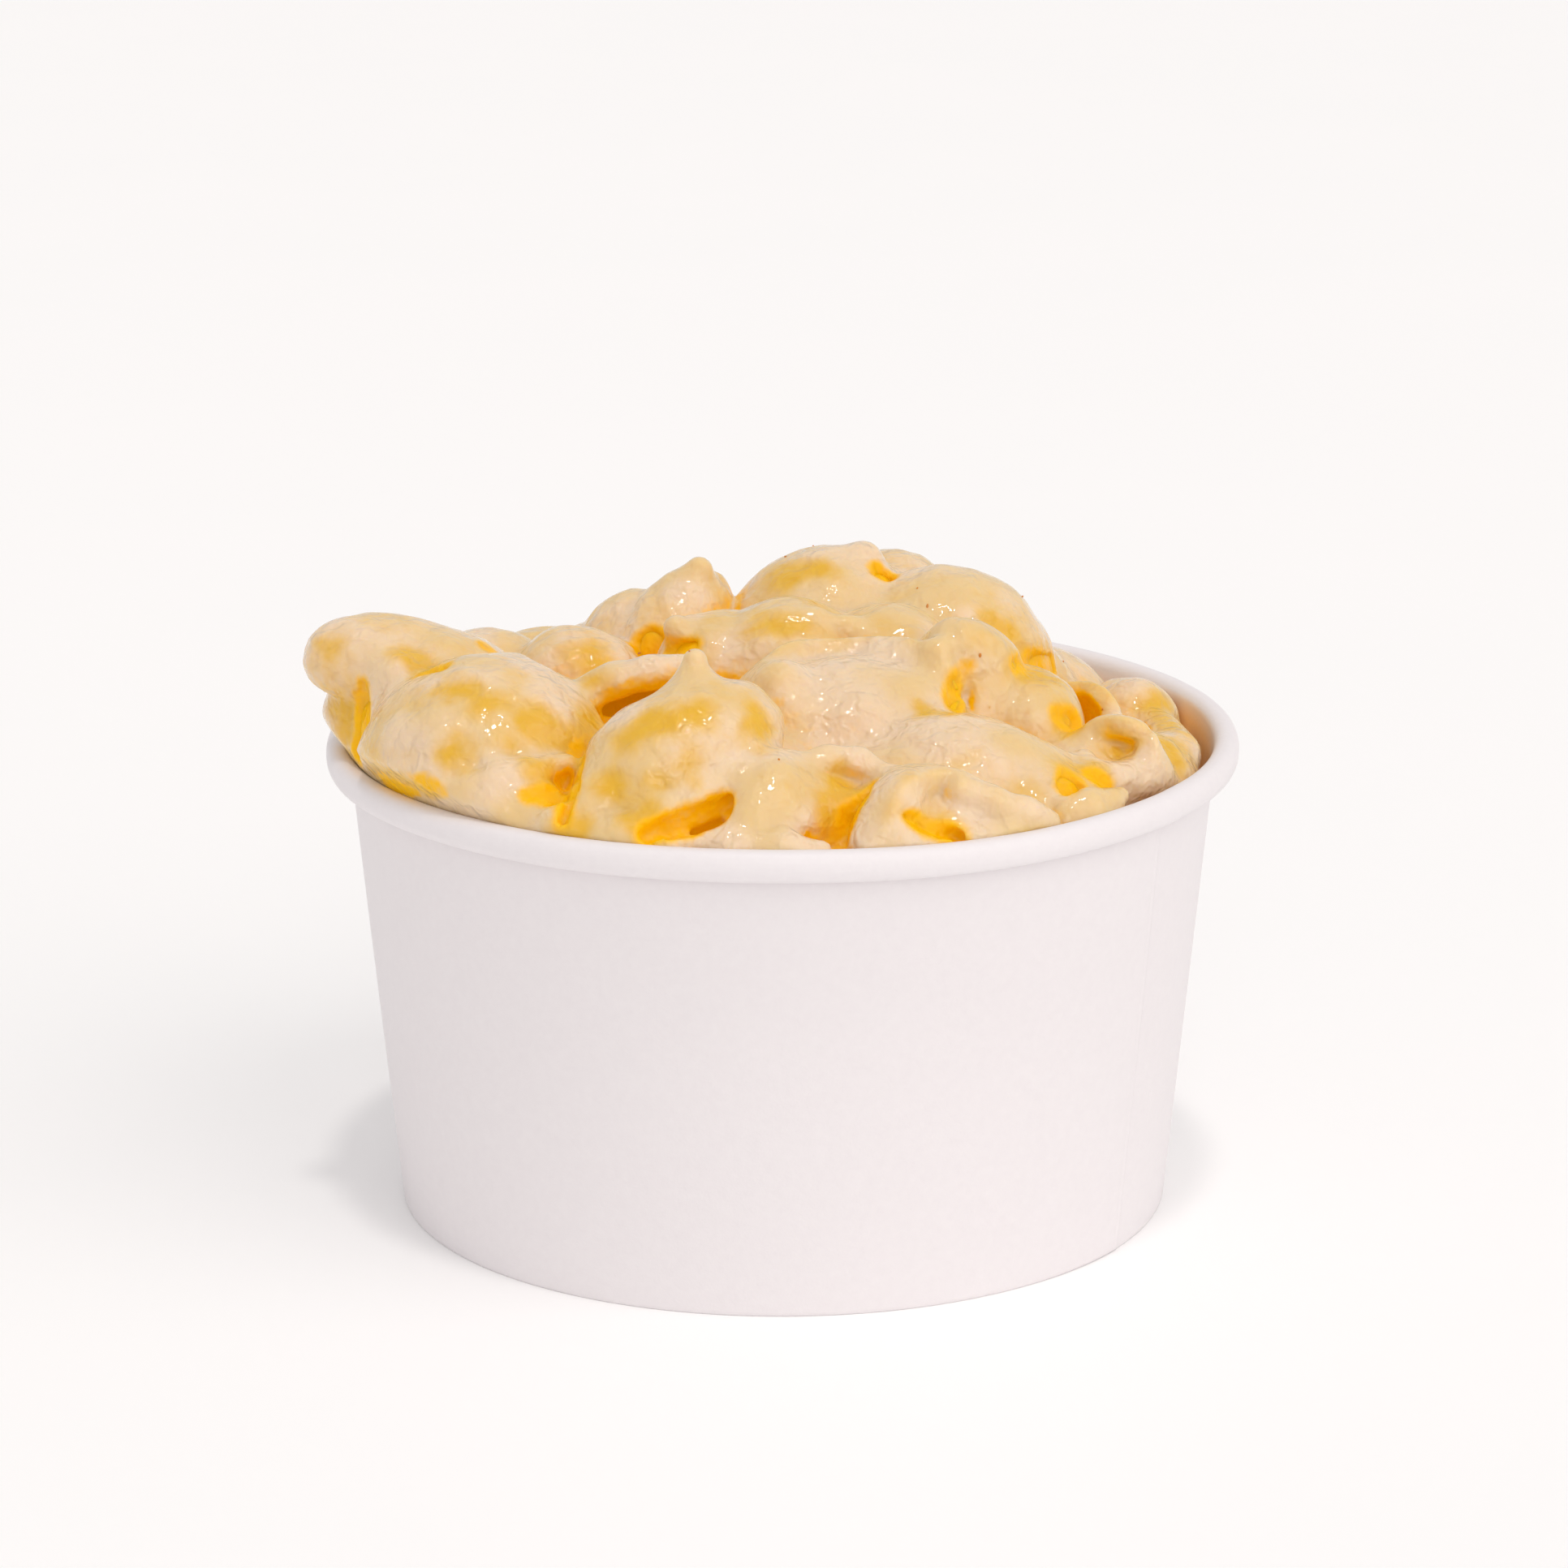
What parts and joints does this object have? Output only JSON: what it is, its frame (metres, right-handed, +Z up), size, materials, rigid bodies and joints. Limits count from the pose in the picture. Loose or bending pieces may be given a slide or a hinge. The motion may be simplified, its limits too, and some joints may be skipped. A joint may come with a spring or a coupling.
{
  "type": "mac and cheese in a paper cup",
  "caption": "Cooked pasta shells in creamy cheese sauce, heaped above the rim of a plain white paper food cup with a rolled rim.",
  "frame": {"origin": "on the table under the middle of the cup's foot, on the cup's axis", "axes": "+Z up; -Y the front, where the heap comes closest to the rim; +X the right seen from the front. One shell overhangs the rim on the -X side."},
  "size_m": [0.1154, 0.114, 0.0807],
  "materials": {
    "paper": "satin coated white paperboard",
    "pasta_and_sauce": "wet and glossy cheese sauce over cooked pasta"
  },
  "bodies": {
    "root": {"cup_sidewall": "paper", "cup_base": "paper", "mac_and_cheese": "pasta_and_sauce"}
  },
  "joints": []
}
